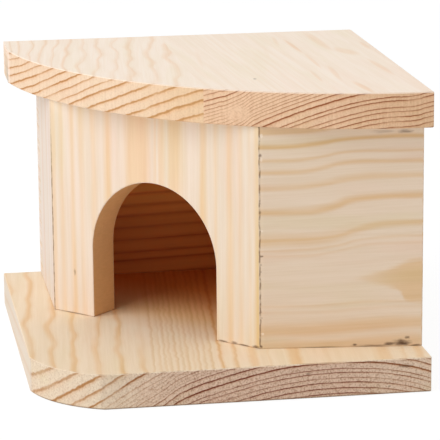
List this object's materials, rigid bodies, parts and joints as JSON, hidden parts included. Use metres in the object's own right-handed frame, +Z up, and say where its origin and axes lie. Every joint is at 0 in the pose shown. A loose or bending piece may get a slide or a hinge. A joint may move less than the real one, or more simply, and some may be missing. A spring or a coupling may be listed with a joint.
{
  "type": "hamster house",
  "caption": "Corner hideout for a hamster in solid pine: a quarter-round roof and a base board joined by upright panels, with an arched doorway in the slanting panel.",
  "frame": {"origin": "middle of the whole outline, on the ground under the base board", "axes": "+Z up. -Y is the front, where the base board stands out before the roof. The back wall is on +Y and the straight right wall on +X, so the roof's square corner is at +X +Y"},
  "size_m": [0.167, 0.1734, 0.1255],
  "materials": {
    "pine_light": "sanded, unfinished pale pine",
    "pine_warm": "sanded, unfinished tan pine",
    "beech": "plain beech dowel"
  },
  "bodies": {
    "root": {"base_board": "pine_warm", "left_wall": "pine_light", "door_panel": "pine_light", "front_panel": "pine_warm", "right_wall": "pine_warm", "back_wall": "pine_warm", "roof_left_stave": "pine_light", "roof_right_stave": "pine_light", "base_dowels": "beech", "roof_dowels": "beech"}
  },
  "joints": []
}
